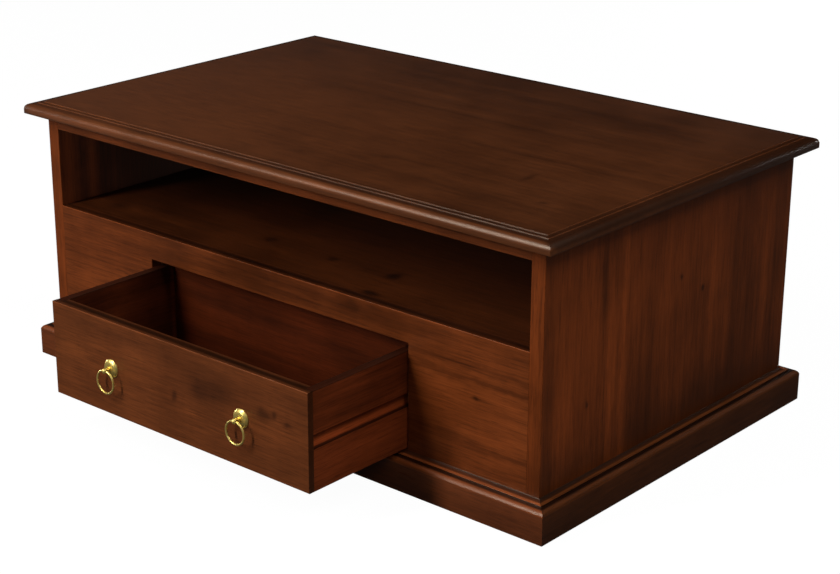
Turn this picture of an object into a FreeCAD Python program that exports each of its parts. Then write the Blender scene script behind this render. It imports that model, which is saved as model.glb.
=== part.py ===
import FreeCAD, Part
import math
import os

# Coffee table with an open shelf, moulded top and plinth, and one drawer in each long face.
# Millimetres. X runs along the long front, the front faces -Y and Z is up.
# The origin is on the floor under the middle of the carcass.
# The front drawer stands pulled out and the back drawer is shut.

# Whole table
table_width = 1100.0
table_depth = 700.0
table_height = 450.0

# Top board, moulded on all four edges
top_thickness = 20.0
top_overhang = 28.0
top_field_inset = 14.2
top_step_drop = 3.0
top_ovolo_radius = 9.5

# Side panels, fascias, top rails and shelf
side_thickness = 24.0
fascia_thickness = 20.0
fascia_floor_gap = 12.0
top_rail_height = 24.0
shelf_top_height = 273.0
shelf_thickness = 18.0
shelf_housing_depth = 8.0
arris_radius = 0.8

# Plinth boards and their moulded upper edge
plinth_height = 58.0
plinth_thickness = 25.0
plinth_face_height = 45.5
plinth_cove_width = 11.5
plinth_cove_drop = 4.2
plinth_cove_sag = 1.6
plinth_quirk_drop = 1.2
plinth_quirk_width = 2.0
plinth_ovolo_sag = 2.4

# Drawer opening and the drawer's fit in it
opening_width = 554.0
opening_height = 170.0
drawer_side_clearance = 2.0
drawer_sill_clearance = 3.0
drawer_pull_out = 208.0

# Drawer box
drawer_height = 154.0
drawer_depth = 260.0
drawer_front_thickness = 21.0
drawer_front_lap = 10.0
drawer_side_thickness = 15.0
drawer_back_thickness = 15.0
drawer_back_setback = 5.0
drawer_back_housing = 4.0
drawer_bottom_thickness = 6.0
drawer_bottom_lift = 8.0
drawer_bottom_housing = 5.0

# Runner groove in the drawer side, and the runner that fits it
runner_groove_rise = 66.0
runner_groove_height = 22.0
runner_groove_depth = 8.0
runner_top_clearance = 0.3
runner_bottom_clearance = 0.5
runner_tip_clearance = 0.5
runner_end_clearance = 0.5
partition_thickness = 18.0

# Cleats and blocks that hold the carcass together
cleat_size = 22.0
cleat_end_gap = 40.0
corner_block_leg = 30.0
corner_block_gap = 15.0
glue_block_leg = 25.0
glue_block_length = 80.0
glue_block_count = 2
glue_block_end_gap = 110.0

# Countersunk wood screws and bottom nails
screw_head_diameter = 8.0
screw_head_height = 3.0
screw_shank_diameter = 4.0
screw_bite = 12.0
screw_clearance = 0.1
screw_count = 3
screw_end_gap = 75.0
screw_stagger = 50.0
nail_diameter = 2.0
nail_head_diameter = 5.0
nail_head_height = 1.0
nail_bite = 18.0
nail_count = 3
nail_end_gap = 50.0

# Brass ring pull
pull_spacing = 282.0
pull_rise = 77.0
rosette_diameter = 30.0
rosette_edge_height = 1.0
rosette_crown_height = 4.6
rosette_crown_diameter = 9.0
rosette_dome_sag = 1.5
eye_standoff = 13.0
eye_ball_diameter = 9.4
eye_hole_diameter = 5.4
eye_neck_diameter = 4.6
eye_collar_diameter = 7.6
eye_collar_height = 1.2
eye_bead_diameter = 6.2
eye_bead_height = 0.9
ring_outer_diameter = 40.0
ring_wire_diameter = 3.6
pull_shank_diameter = 4.0
pull_shank_clearance = 0.1
pull_shank_tail = 2.0
nut_across_flats = 7.0
nut_sides = 6
nut_height = 3.2
nut_clearance = 0.05

# Places worked out from the sizes above
carcass_half_width = table_width / 2 - top_overhang
carcass_half_depth = table_depth / 2 - top_overhang
inner_half_width = carcass_half_width - side_thickness
inner_half_depth = carcass_half_depth - fascia_thickness
carcass_height = table_height - top_thickness
shelf_underside = shelf_top_height - shelf_thickness
sill_height = plinth_height
drawer_half_width = opening_width / 2 - drawer_side_clearance
drawer_base = sill_height + drawer_sill_clearance
drawer_top = drawer_base + drawer_height
drawer_front_plane = -carcass_half_depth
drawer_tail_plane = drawer_front_plane + drawer_depth
groove_low = drawer_base + runner_groove_rise
groove_high = groove_low + runner_groove_height
runner_thickness = drawer_side_clearance + runner_groove_depth - runner_tip_clearance
runner_reach = carcass_half_depth - drawer_front_lap - runner_end_clearance
cleat_reach = carcass_half_depth - cleat_end_gap
drawer_back_reach = drawer_half_width - drawer_side_thickness + drawer_back_housing
pull_height = drawer_base + pull_rise
ring_radius = (ring_outer_diameter - ring_wire_diameter) / 2

X_AXIS = FreeCAD.Vector(1, 0, 0)
Y_AXIS = FreeCAD.Vector(0, 1, 0)
Z_AXIS = FreeCAD.Vector(0, 0, 1)
ORIGIN = FreeCAD.Vector(0, 0, 0)


def vec(x, y, z):
    return FreeCAD.Vector(x, y, z)


def board(x_span, y_span, z_span):
    """A sawn board between two values on each axis."""
    corner = vec(min(x_span), min(y_span), min(z_span))
    return Part.makeBox(
        abs(x_span[1] - x_span[0]),
        abs(y_span[1] - y_span[0]),
        abs(z_span[1] - z_span[0]),
        corner,
    )


def eased(solid, wanted):
    """The solid with a rounded arris on each straight edge whose middle the test picks."""
    edges = [edge for edge in solid.Edges if wanted(edge.CenterOfMass)]
    return solid.makeFillet(arris_radius, edges)


def near(value, target):
    return abs(value - target) < arris_radius / 2


def turned_round(shape):
    """The copy that faces the other long side of the table."""
    copy = shape.copy()
    copy.rotate(ORIGIN, Z_AXIS, 180)
    return copy


def bowed(start, end, sag):
    """An arc from start to end whose middle stands off the chord to its left, in the YZ plane."""
    chord = end - start
    left = vec(0, -chord.z, chord.y).normalize()
    return Part.Arc(start, start + chord * 0.5 + left * sag, end).toShape()


def straight(start, end):
    return Part.LineSegment(start, end).toShape()


def save(name, shape):
    shape.exportStep("parts/" + name + ".step")


def spread(count, reach):
    """Evenly spaced places about the middle, from -reach to reach."""
    return [reach * (2 * index / (count - 1) - 1) for index in range(count)]


def screw(bite, through, clearance):
    """A countersunk screw along -Z with its head flush at the origin, or its hole when it has a clearance."""
    head_radius = screw_head_diameter / 2 + clearance
    shank_radius = screw_shank_diameter / 2 + clearance
    head = Part.makeCone(shank_radius, head_radius, screw_head_height, vec(0, 0, -screw_head_height))
    length = through + bite + clearance
    shank = Part.makeCylinder(shank_radius, length, vec(0, 0, -length))
    return head.fuse(shank).removeSplitter()


def set_along(shape, place, direction):
    """The shape with its +Z turned to the direction and its origin moved to the place."""
    copy = shape.copy()
    copy.Placement = FreeCAD.Placement(place, FreeCAD.Rotation(Z_AXIS, direction))
    return copy


def screws_at(places, direction, through, clearance):
    return [set_along(screw(screw_bite, through, clearance), place, direction) for place in places]


def drilled(solid, tools):
    for tool in tools:
        solid = solid.cut(tool)
    return solid


# Screw places, shared by the screws and by the pieces that they pass through
def cleat_side_places(hand):
    x = hand * (inner_half_width - cleat_size)
    z = carcass_height - cleat_size / 2
    return [vec(x, y - screw_stagger / 2, z) for y in spread(screw_count, cleat_reach - screw_end_gap)]


def cleat_top_places(hand):
    x = hand * (inner_half_width - cleat_size / 2)
    z = carcass_height - cleat_size
    return [vec(x, y + screw_stagger / 2, z) for y in spread(screw_count, cleat_reach - screw_end_gap)]


def runner_places(hand):
    x = hand * (opening_width / 2 - runner_thickness)
    z = (groove_low + runner_bottom_clearance + groove_high - runner_top_clearance) / 2
    return [vec(x, y, z) for y in spread(screw_count, runner_reach - screw_end_gap)]


def cleat_screws(hand, clearance):
    sideways = screws_at(cleat_side_places(hand), X_AXIS * -hand, cleat_size, clearance)
    upright = screws_at(cleat_top_places(hand), -Z_AXIS, cleat_size, clearance)
    return sideways + upright


def runner_screws(hand, clearance):
    return screws_at(runner_places(hand), X_AXIS * -hand, runner_thickness, clearance)


# Table top: the moulded edge runs round all four sides and mitres at the corners
def top_section(half_width):
    """The top's cross-section in the YZ plane."""
    z_top = table_height
    z_step = z_top - top_step_drop
    z_square = z_step - top_ovolo_radius
    field = half_width - top_field_inset
    ovolo_start = half_width - top_ovolo_radius
    edges = []
    for side in (1, -1):
        ring = [
            vec(0, side * field, z_top),
            vec(0, side * field, z_step),
            vec(0, side * ovolo_start, z_step),
            vec(0, side * half_width, z_square),
            vec(0, side * half_width, carcass_height),
        ]
        turn = top_ovolo_radius * math.sqrt(0.5)
        crest = vec(0, side * (ovolo_start + turn), z_square + turn)
        edges.append(straight(ring[0], ring[1]))
        edges.append(straight(ring[1], ring[2]))
        edges.append(Part.Arc(ring[2], crest, ring[3]).toShape())
        edges.append(straight(ring[3], ring[4]))
    edges.append(straight(vec(0, -field, z_top), vec(0, field, z_top)))
    edges.append(straight(vec(0, -half_width, carcass_height), vec(0, half_width, carcass_height)))
    return Part.Face(Part.Wire(Part.__sortEdges__(edges)))


def table_top():
    long_way = top_section(table_depth / 2)
    long_way.translate(vec(-table_width / 2, 0, 0))
    long_way = long_way.extrude(vec(table_width, 0, 0))
    cross_way = top_section(table_width / 2)
    cross_way.translate(vec(-table_depth / 2, 0, 0))
    cross_way = cross_way.extrude(vec(table_depth, 0, 0))
    cross_way.rotate(ORIGIN, Z_AXIS, 90)
    top = long_way.common(cross_way)
    return drilled(top, cleat_screws(1, screw_clearance) + cleat_screws(-1, screw_clearance))


# Side panel: full depth of the carcass, housed for the shelf on its inner face
def side_panel(hand):
    panel = board(
        (hand * inner_half_width, hand * carcass_half_width),
        (-carcass_half_depth, carcass_half_depth),
        (0, carcass_height),
    )
    middle = carcass_height / 2
    panel = eased(panel, lambda p: near(p.z, middle))
    housing = board(
        (hand * (inner_half_width - arris_radius), hand * (inner_half_width + shelf_housing_depth)),
        (-inner_half_depth, inner_half_depth),
        (shelf_underside, shelf_top_height),
    )
    return drilled(panel.cut(housing), cleat_screws(hand, screw_clearance))


def shelf_board():
    reach = inner_half_width + shelf_housing_depth
    return board((-reach, reach), (-inner_half_depth, inner_half_depth), (shelf_underside, shelf_top_height))


# Fascia: one board between the side panels, with the drawer opening cut through it
def front_fascia():
    panel = board(
        (-inner_half_width, inner_half_width),
        (-carcass_half_depth, -inner_half_depth),
        (fascia_floor_gap, shelf_top_height),
    )
    opening = board(
        (-opening_width / 2, opening_width / 2),
        (-carcass_half_depth - fascia_thickness, 0),
        (sill_height, sill_height + opening_height),
    )
    panel = panel.cut(opening)

    def shows(p):
        on_front = near(p.y, -carcass_half_depth)
        on_opening = near(abs(p.x), opening_width / 2) or near(p.z, sill_height + opening_height)
        return on_front and (on_opening or near(p.z, shelf_top_height))

    return eased(panel, shows)


# Top rail: a strip between the side panels, glued under the front of the top
def front_top_rail():
    underside = carcass_height - top_rail_height
    strip = board(
        (-inner_half_width, inner_half_width),
        (-carcass_half_depth, -inner_half_depth),
        (underside, carcass_height),
    )
    return eased(strip, lambda p: near(p.y, -carcass_half_depth) and near(p.z, underside))


# Plinth: a board with a cove, a quirk and an ovolo worked on its upper edge, mitred at both ends
def plinth_section(back):
    """The front plinth's cross-section in the YZ plane, with its back at the given Y."""
    face = back - plinth_thickness
    quirk = back - plinth_cove_width
    shoulder = quirk - plinth_quirk_width
    quirk_height = plinth_height - plinth_cove_drop
    ledge_height = quirk_height - plinth_quirk_drop
    points = [
        vec(0, back, 0),
        vec(0, back, plinth_height),
        vec(0, quirk, quirk_height),
        vec(0, quirk, ledge_height),
        vec(0, shoulder, ledge_height),
        vec(0, face, plinth_face_height),
        vec(0, face, 0),
    ]
    edges = [
        straight(points[0], points[1]),
        bowed(points[1], points[2], plinth_cove_sag),
        straight(points[2], points[3]),
        straight(points[3], points[4]),
        bowed(points[4], points[5], -plinth_ovolo_sag),
        straight(points[5], points[6]),
        straight(points[6], points[0]),
    ]
    return Part.Face(Part.Wire(edges))


def plinth_board(half_length, half_depth):
    """The board before a carcass face of the given half length, half_depth in front of the middle."""
    outer = half_length + plinth_thickness
    section = plinth_section(-half_depth)
    section.translate(vec(-outer, 0, 0))
    length = section.extrude(vec(2 * outer, 0, 0))
    corners = [
        vec(-half_length, -half_depth, 0),
        vec(half_length, -half_depth, 0),
        vec(outer, -half_depth - plinth_thickness, 0),
        vec(-outer, -half_depth - plinth_thickness, 0),
    ]
    plan = Part.Face(Part.makePolygon(corners + corners[:1]))
    return length.common(plan.extrude(vec(0, 0, plinth_height)))


# Inside the carcass
def partition(hand):
    inner = opening_width / 2
    panel = board(
        (hand * inner, hand * (inner + partition_thickness)),
        (-inner_half_depth, inner_half_depth),
        (fascia_floor_gap, shelf_underside),
    )
    return drilled(panel, runner_screws(hand, screw_clearance))


def drawer_runner(hand):
    """A strip on the partition that fills the groove of both drawers and stops their fronts."""
    strip = board(
        (hand * (opening_width / 2 - runner_thickness), hand * opening_width / 2),
        (-runner_reach, runner_reach),
        (groove_low + runner_bottom_clearance, groove_high - runner_top_clearance),
    )
    return drilled(strip, runner_screws(hand, screw_clearance))


def top_cleat(hand):
    batten = board(
        (hand * (inner_half_width - cleat_size), hand * inner_half_width),
        (-cleat_reach, cleat_reach),
        (carcass_height - cleat_size, carcass_height),
    )
    return drilled(batten, cleat_screws(hand, screw_clearance))


def corner_block(x_hand, y_hand):
    """A three-cornered block glued into the corner of a fascia and a side panel."""
    x = x_hand * inner_half_width
    y = y_hand * inner_half_depth
    base = fascia_floor_gap + corner_block_gap
    corners = [
        vec(x, y, base),
        vec(x - x_hand * corner_block_leg, y, base),
        vec(x, y - y_hand * corner_block_leg, base),
    ]
    plan = Part.Face(Part.makePolygon(corners + corners[:1]))
    return plan.extrude(vec(0, 0, shelf_underside - corner_block_gap - base))


def glue_block(hand, y_middle):
    """A three-cornered block glued under the shelf against the outside of a partition."""
    x = hand * (opening_width / 2 + partition_thickness)
    y = y_middle - glue_block_length / 2
    corners = [
        vec(x, y, shelf_underside),
        vec(x + hand * glue_block_leg, y, shelf_underside),
        vec(x, y, shelf_underside - glue_block_leg),
    ]
    section = Part.Face(Part.makePolygon(corners + corners[:1]))
    return section.extrude(vec(0, glue_block_length, 0))


# Drawer, modelled shut in the front opening
def pull_places():
    return [vec(hand * pull_spacing / 2, drawer_front_plane, pull_height) for hand in (-1, 1)]


def drawer_front():
    panel = board(
        (-drawer_half_width, drawer_half_width),
        (drawer_front_plane, drawer_front_plane + drawer_front_thickness),
        (drawer_base, drawer_top),
    )
    panel = eased(panel, lambda p: near(p.y, drawer_front_plane))
    for hand in (-1, 1):
        lap = board(
            (hand * (drawer_half_width - drawer_side_thickness), hand * (drawer_half_width + arris_radius)),
            (drawer_front_plane + drawer_front_lap, drawer_front_plane + 2 * drawer_front_thickness),
            (drawer_base - arris_radius, drawer_top + arris_radius),
        )
        panel = panel.cut(lap)
    hole_radius = pull_shank_diameter / 2 + pull_shank_clearance
    for place in pull_places():
        panel = panel.cut(Part.makeCylinder(hole_radius, drawer_front_thickness, place, Y_AXIS))
    return panel.cut(drawer_bottom())


def drawer_side(hand):
    outer = hand * drawer_half_width
    inner = hand * (drawer_half_width - drawer_side_thickness)
    panel = board(
        (outer, inner),
        (drawer_front_plane + drawer_front_lap, drawer_tail_plane),
        (drawer_base, drawer_top),
    )
    panel = eased(panel, lambda p: near(p.z, drawer_top))
    groove = board(
        (hand * (drawer_half_width - runner_groove_depth), hand * (drawer_half_width + arris_radius)),
        (drawer_front_plane, drawer_tail_plane + arris_radius),
        (groove_low, groove_high),
    )
    return panel.cut(groove).cut(drawer_back()).cut(drawer_bottom())


def drawer_back():
    rear = drawer_tail_plane - drawer_back_setback
    return board(
        (-drawer_back_reach, drawer_back_reach),
        (rear - drawer_back_thickness, rear),
        (drawer_base + drawer_bottom_lift + drawer_bottom_thickness, drawer_top),
    )


def drawer_bottom():
    reach = drawer_half_width - drawer_side_thickness + drawer_bottom_housing
    front = drawer_front_plane + drawer_front_thickness - drawer_bottom_housing
    z_low = drawer_base + drawer_bottom_lift
    return board(
        (-reach, reach),
        (front, drawer_tail_plane - drawer_back_setback),
        (z_low, z_low + drawer_bottom_thickness),
    )


def bottom_nails(clearance):
    """Nails driven up through the bottom board into the drawer back."""
    z = drawer_base + drawer_bottom_lift
    y = drawer_tail_plane - drawer_back_setback - drawer_back_thickness / 2
    nails = []
    for x in spread(nail_count, drawer_back_reach - nail_end_gap):
        head = Part.makeCylinder(nail_head_diameter / 2, nail_head_height, vec(x, y, z - nail_head_height))
        shank = Part.makeCylinder(nail_diameter / 2 + clearance, nail_bite + clearance, vec(x, y, z))
        nails.append(head.fuse(shank))
    return nails


# Ring pull, turned about an axis that stands square to the drawer front
def turned(profile_edges):
    """A solid of revolution about the Y axis, from edges in the XY half plane."""
    return Part.Face(Part.Wire(profile_edges)).revolve(ORIGIN, Y_AXIS, 360)


def polyline(points):
    return [straight(first, second) for first, second in zip(points, points[1:])]


def rosette():
    """A domed plate with a thin square edge, bored for the eye's shank."""
    rim = rosette_diameter / 2
    crown = rosette_crown_diameter / 2
    bore = pull_shank_diameter / 2 + pull_shank_clearance
    edge_foot = vec(rim, 0, 0)
    edge_top = vec(rim, -rosette_edge_height, 0)
    crown_edge = vec(crown, -rosette_crown_height, 0)
    slope = crown_edge - edge_top
    outward = vec(-slope.y, slope.x, 0).normalize()
    dome_middle = edge_top + slope * 0.5 + outward * rosette_dome_sag
    bore_front = vec(bore, -rosette_crown_height, 0)
    bore_back = vec(bore, 0, 0)
    edges = [
        straight(bore_back, edge_foot),
        straight(edge_foot, edge_top),
        Part.Arc(edge_top, dome_middle, crown_edge).toShape(),
        straight(crown_edge, bore_front),
        straight(bore_front, bore_back),
    ]
    return turned(edges)


def eye():
    """A ball drilled crosswise for the ring, on a turned neck, with a shank through the drawer front."""
    collar = eye_collar_diameter / 2
    bead = eye_bead_diameter / 2
    neck = eye_neck_diameter / 2
    shank = pull_shank_diameter / 2
    collar_top = rosette_crown_height + eye_collar_height
    bead_top = collar_top + eye_bead_height
    tail = drawer_front_thickness + nut_height + pull_shank_tail
    outline = [
        vec(0, tail, 0),
        vec(shank, tail, 0),
        vec(shank, -rosette_crown_height, 0),
        vec(collar, -rosette_crown_height, 0),
        vec(collar, -collar_top, 0),
        vec(bead, -collar_top, 0),
        vec(bead, -bead_top, 0),
        vec(neck, -bead_top, 0),
        vec(neck, -eye_standoff, 0),
        vec(0, -eye_standoff, 0),
        vec(0, tail, 0),
    ]
    stem = turned(polyline(outline))
    ball = Part.makeSphere(eye_ball_diameter / 2, vec(0, -eye_standoff, 0))
    hole_start = vec(-eye_ball_diameter, -eye_standoff, 0)
    hole = Part.makeCylinder(eye_hole_diameter / 2, 2 * eye_ball_diameter, hole_start, X_AXIS)
    return stem.fuse(ball).cut(hole)


def ring():
    """A round wire ring that hangs with its upper wire along the axis of the eye's hole."""
    return Part.makeTorus(ring_radius, ring_wire_diameter / 2, vec(0, -eye_standoff, -ring_radius), Y_AXIS)


def nut():
    """A hexagon nut on the shank, against the inside of the drawer front."""
    corner_radius = nut_across_flats / 2 / math.cos(math.pi / nut_sides)
    corners = []
    for index in range(nut_sides):
        angle = 2 * math.pi * index / nut_sides
        x = corner_radius * math.cos(angle)
        z = corner_radius * math.sin(angle)
        corners.append(vec(x, drawer_front_thickness, z))
    body = Part.Face(Part.makePolygon(corners + corners[:1])).extrude(vec(0, nut_height, 0))
    bore_radius = pull_shank_diameter / 2 + nut_clearance
    return body.cut(Part.makeCylinder(bore_radius, nut_height, vec(0, drawer_front_thickness, 0), Y_AXIS))


def moved_to(shape, place):
    copy = shape.copy()
    copy.translate(place)
    return copy


def drawer_pieces():
    """Every piece of one drawer by name, shut in the front opening."""
    nail_holes = bottom_nails(screw_clearance)
    pieces = {
        "face": drawer_front(),
        "left_side": drawer_side(-1),
        "right_side": drawer_side(1),
        "back_board": drilled(drawer_back(), nail_holes),
        "bottom_board": drilled(drawer_bottom(), nail_holes),
        "bottom_nails": Part.makeCompound(bottom_nails(0)),
        "pull_nuts": Part.makeCompound([moved_to(nut(), place) for place in pull_places()]),
    }
    for hand, place in zip(("left", "right"), pull_places()):
        pieces[hand + "_rosette"] = moved_to(rosette(), place)
        pieces[hand + "_eye"] = moved_to(eye(), place)
        pieces[hand + "_ring"] = moved_to(ring(), place)
    return pieces


os.makedirs("parts", exist_ok=True)

save("table_top", table_top())
save("shelf_board", shelf_board())
save("front_fascia", front_fascia())
save("back_fascia", turned_round(front_fascia()))
save("top_rail_front", front_top_rail())
save("top_rail_back", turned_round(front_top_rail()))

front_plinth = plinth_board(carcass_half_width, carcass_half_depth)
end_plinth = plinth_board(carcass_half_depth, carcass_half_width)
end_plinth.rotate(ORIGIN, Z_AXIS, 90)
save("plinth_front", front_plinth)
save("plinth_back", turned_round(front_plinth))
save("plinth_right", end_plinth)
save("plinth_left", turned_round(end_plinth))

for side, hand in (("left", -1), ("right", 1)):
    save("side_panel_" + side, side_panel(hand))
    save("drawer_partition_" + side, partition(hand))
    save("drawer_runner_" + side, drawer_runner(hand))
    save("runner_screws_" + side, Part.makeCompound(runner_screws(hand, 0)))
    save("top_cleat_" + side, top_cleat(hand))
    save("top_cleat_screws_" + side, Part.makeCompound(cleat_screws(hand, 0)))
    block_places = spread(glue_block_count, inner_half_depth - glue_block_end_gap)
    blocks = [glue_block(hand, y) for y in block_places]
    save("shelf_glue_blocks_" + side, Part.makeCompound(blocks))
    save("corner_block_front_" + side, corner_block(hand, -1))
    save("corner_block_back_" + side, corner_block(hand, 1))

for name, piece in drawer_pieces().items():
    save("front_drawer_" + name, moved_to(piece, Y_AXIS * -drawer_pull_out))
    save("back_drawer_" + name, turned_round(piece))
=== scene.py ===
import math

import bmesh
import bpy
from mathutils import Matrix, Vector


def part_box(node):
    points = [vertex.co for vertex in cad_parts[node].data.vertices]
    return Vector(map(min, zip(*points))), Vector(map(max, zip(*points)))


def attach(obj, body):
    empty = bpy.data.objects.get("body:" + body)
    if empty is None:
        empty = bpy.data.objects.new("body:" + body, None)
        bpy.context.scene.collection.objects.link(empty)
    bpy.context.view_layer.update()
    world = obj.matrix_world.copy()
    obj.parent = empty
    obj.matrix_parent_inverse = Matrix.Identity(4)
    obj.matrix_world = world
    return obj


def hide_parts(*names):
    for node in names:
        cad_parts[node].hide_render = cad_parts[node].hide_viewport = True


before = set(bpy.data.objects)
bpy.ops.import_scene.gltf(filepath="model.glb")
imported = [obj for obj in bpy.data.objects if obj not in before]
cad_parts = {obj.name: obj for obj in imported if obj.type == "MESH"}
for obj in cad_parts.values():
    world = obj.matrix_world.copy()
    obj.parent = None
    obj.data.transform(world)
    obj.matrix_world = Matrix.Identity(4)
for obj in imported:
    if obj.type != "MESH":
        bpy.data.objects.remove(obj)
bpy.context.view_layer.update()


# Side panels
# Each end of the carcass is one panel, glued up from upright planks of red-brown hardwood.
# It is stained and wiped with a satin lacquer, and the shelf is housed in its inner face.
class Tone:
    """A value on its way through a finish: one output socket, with sums written as plain arithmetic."""

    def __init__(self, tree, socket=None):
        self.tree = tree
        self.socket = socket

    def node(self, kind, settings, values, output=None):
        """Adds a node, sets it up, fills its inputs with numbers or links, and gives the named output."""
        made = self.tree.nodes.new(kind)
        for name, setting in settings.items():
            setattr(made, name, setting)
        for key, value in values.items():
            socket = next(s for s in made.inputs if s.identifier == key)
            if isinstance(value, Tone):
                self.tree.links.new(value.socket, socket)
            else:
                socket.default_value = value
        return Tone(self.tree, next((s for s in made.outputs if s.identifier == output), None))

    def beside(self, output):
        """Another output of the node that this value comes from."""
        return Tone(self.tree, next(s for s in self.socket.node.outputs if s.identifier == output))

    def math(self, operation, first, second=0.0):
        values = {"Value": first, "Value_001": second}
        return self.node("ShaderNodeMath", {"operation": operation}, values, "Value")

    def __add__(self, other):
        return self.math("ADD", self, other)

    def __sub__(self, other):
        return self.math("SUBTRACT", self, other)

    def __rsub__(self, other):
        return self.math("SUBTRACT", other, self)

    def __mul__(self, other):
        return self.math("MULTIPLY", self, other)

    def __truediv__(self, other):
        return self.math("DIVIDE", self, other)

    __radd__ = __add__
    __rmul__ = __mul__


def rise(value, low, high):
    """A soft step from 0 at low to 1 at high."""
    values = {"Value": value, "From Min": low, "From Max": high}
    return value.node("ShaderNodeMapRange", {"interpolation_type": "SMOOTHSTEP"}, values, "Result")


def mixed(factor, first, second):
    """A colour between two others."""
    values = {"Factor_Float": factor, "A_Color": first, "B_Color": second}
    return factor.node("ShaderNodeMix", {"data_type": "RGBA"}, values, "Result_Color")


def shaded(colour, factor):
    """A colour made darker or lighter by a number."""
    values = {"Vector": colour, "Scale": factor}
    return factor.node("ShaderNodeVectorMath", {"operation": "SCALE"}, values, "Vector")


def cloudy(place, scale, detail):
    """Soft random patches, about 1 / scale across."""
    values = {"Vector": place, "Scale": scale, "Detail": detail}
    return place.node("ShaderNodeTexNoise", {}, values, "Fac")


def opaque(colour):
    """A colour as a socket takes it, with its alpha."""
    return (*colour, 1.0)


def new_finish(name):
    """An empty material, and the place from which its nodes are written."""
    finish = bpy.data.materials.new(name)
    finish.use_nodes = True
    finish.node_tree.nodes.clear()
    return finish, Tone(finish.node_tree)


def surface(start, values):
    """The finish's shader, joined to its output."""
    shader = start.node("ShaderNodeBsdfPrincipled", {}, values, "BSDF")
    start.node("ShaderNodeOutputMaterial", {}, {"Surface": shader})


def mark_strength(place, middle, reach):
    """How strongly a knot, stain, band or painted light or shade shows: 1 at its middle, fading out past
    its reach.
    """
    values = {"Vector": place, "Vector_001": middle}
    offset = place.node("ShaderNodeVectorMath", {"operation": "SUBTRACT"}, values, "Vector")
    values = {"Vector": offset, "Vector_001": reach}
    share = offset.node("ShaderNodeVectorMath", {"operation": "DIVIDE"}, values, "Vector")
    values = {"Vector": share, "Vector_001": share}
    squared = share.node("ShaderNodeVectorMath", {"operation": "DOT_PRODUCT"}, values, "Value")
    return squared.math("EXPONENT", 0 - squared)


def stained_wood(
    name, along, across, plank_width, dark, light, seed,
    marks=(), lines=(), figure=0.5, roughness=0.34, lacquer=0.25,
):
    """Stained and lacquered hardwood: planks of their own tone, bands, streaks, flecks, fibres and pores.

    Tone 0 shows the dark colour and tone 1 the light one. Below 0 it darkens, for deep stain and painted
    shade, and above 1 it lightens, for wear and painted highlights. A mark or a line is its middle, its
    reach in metres and its change of tone. Marks have ragged outlines, as knots and stains have; some are
    painted light and shade.
    Lines are crisp, for worn arrises, end grain, and painted light and shade along edges.
    """
    finish, start = new_finish(name)
    place = start.node("ShaderNodeTexCoord", {}, {}, "Object")
    x = place.node("ShaderNodeSeparateXYZ", {}, {"Vector": place}, "X")
    run = {"X": x, "Y": x.beside("Y"), "Z": x.beside("Z")}
    through = next(axis for axis in "XYZ" if axis not in (along, across))
    plank = x.math("FLOOR", run[across] / plank_width + seed)
    luck = plank.node("ShaderNodeTexWhiteNoise", {"noise_dimensions": "1D"}, {"W": plank}, "Value")
    plank_shift = 9.0

    def grain(lengthwise, crosswise, detail):
        """Patches drawn out along the grain, with the two fineness values per metre."""
        stretched = {
            "X": run[along] * lengthwise + luck * plank_shift + seed,
            "Y": run[across] * crosswise,
            "Z": run[through] * crosswise,
        }
        spot = x.node("ShaderNodeCombineXYZ", {}, stretched, "Vector")
        return cloudy(spot, 1.0, detail)

    bands = grain(1.3, 24.0, 2.0)
    streaks = grain(3.5, 110.0, 3.0)
    fibres = grain(22.0, 700.0, 2.0)
    flecks = rise(grain(11.0, 240.0, 2.0), 0.3, 0.7)
    pores = rise(grain(60.0, 1900.0, 0.0), 0.6, 0.72)
    stains = cloudy(place, 8.0, 3.0)
    tone = (bands - 0.5) * (1.5 * figure) + (streaks - 0.5) * (1.1 * figure)
    tone = tone + (luck - 0.5) * (0.3 * figure) + (stains - 0.5) * (0.3 + 1.2 * figure) + 0.5

    raggedness = 0.012
    warp = place.node("ShaderNodeTexNoise", {}, {"Vector": place, "Scale": 45.0, "Detail": 2.0}, "Color")
    values = {"Vector": warp, "Vector_001": (raggedness,) * 3, "Vector_002": place}
    warped = warp.node("ShaderNodeVectorMath", {"operation": "MULTIPLY_ADD"}, values, "Vector")
    for middle, reach, change in marks:
        warped_middle = [value + raggedness / 2 for value in middle]
        tone = tone + mark_strength(warped, warped_middle, reach) * change
    for middle, reach, change in lines:
        tone = tone + mark_strength(place, middle, reach) * change

    # Tone below 0 darkens and above 1 lightens: deep stain and wear, and the painted shade and highlights
    # of marks and lines.
    deep_stain_and_shade_loss = 0.75
    worn_and_highlight_gain = 1.2
    amber_sheen = (1.0, 0.88, 0.7)
    colour = mixed(rise(tone, 0.0, 1.0), opaque(dark), opaque(light))
    wear_and_painted_light = (1 - rise(0 - tone, 0.0, 1.0) * deep_stain_and_shade_loss) * (1 + rise(tone, 1.0, 2.0) * worn_and_highlight_gain)
    fine_shade = 1.28 - flecks * 0.24 - rise(fibres, 0.42, 0.7) * 0.32 - pores * 0.3
    colour = shaded(colour, fine_shade * wear_and_painted_light)
    relief = fibres * 0.5 + streaks * 0.5 - pores * 0.6
    bump = {"Strength": 0.1, "Distance": 0.0006, "Height": relief}
    surface(start, {
        "Base Color": colour,
        "Roughness": stains * 0.14 + fibres * 0.1 + (roughness - 0.12),
        "Specular IOR Level": lacquer,
        "Specular Tint": opaque(amber_sheen),
        "Normal": relief.node("ShaderNodeBump", {}, bump, "Normal"),
    })
    return finish


def dress(finish, *names):
    """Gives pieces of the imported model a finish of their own."""
    for name in names:
        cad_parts[name].material_slots[0].material = finish


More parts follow.
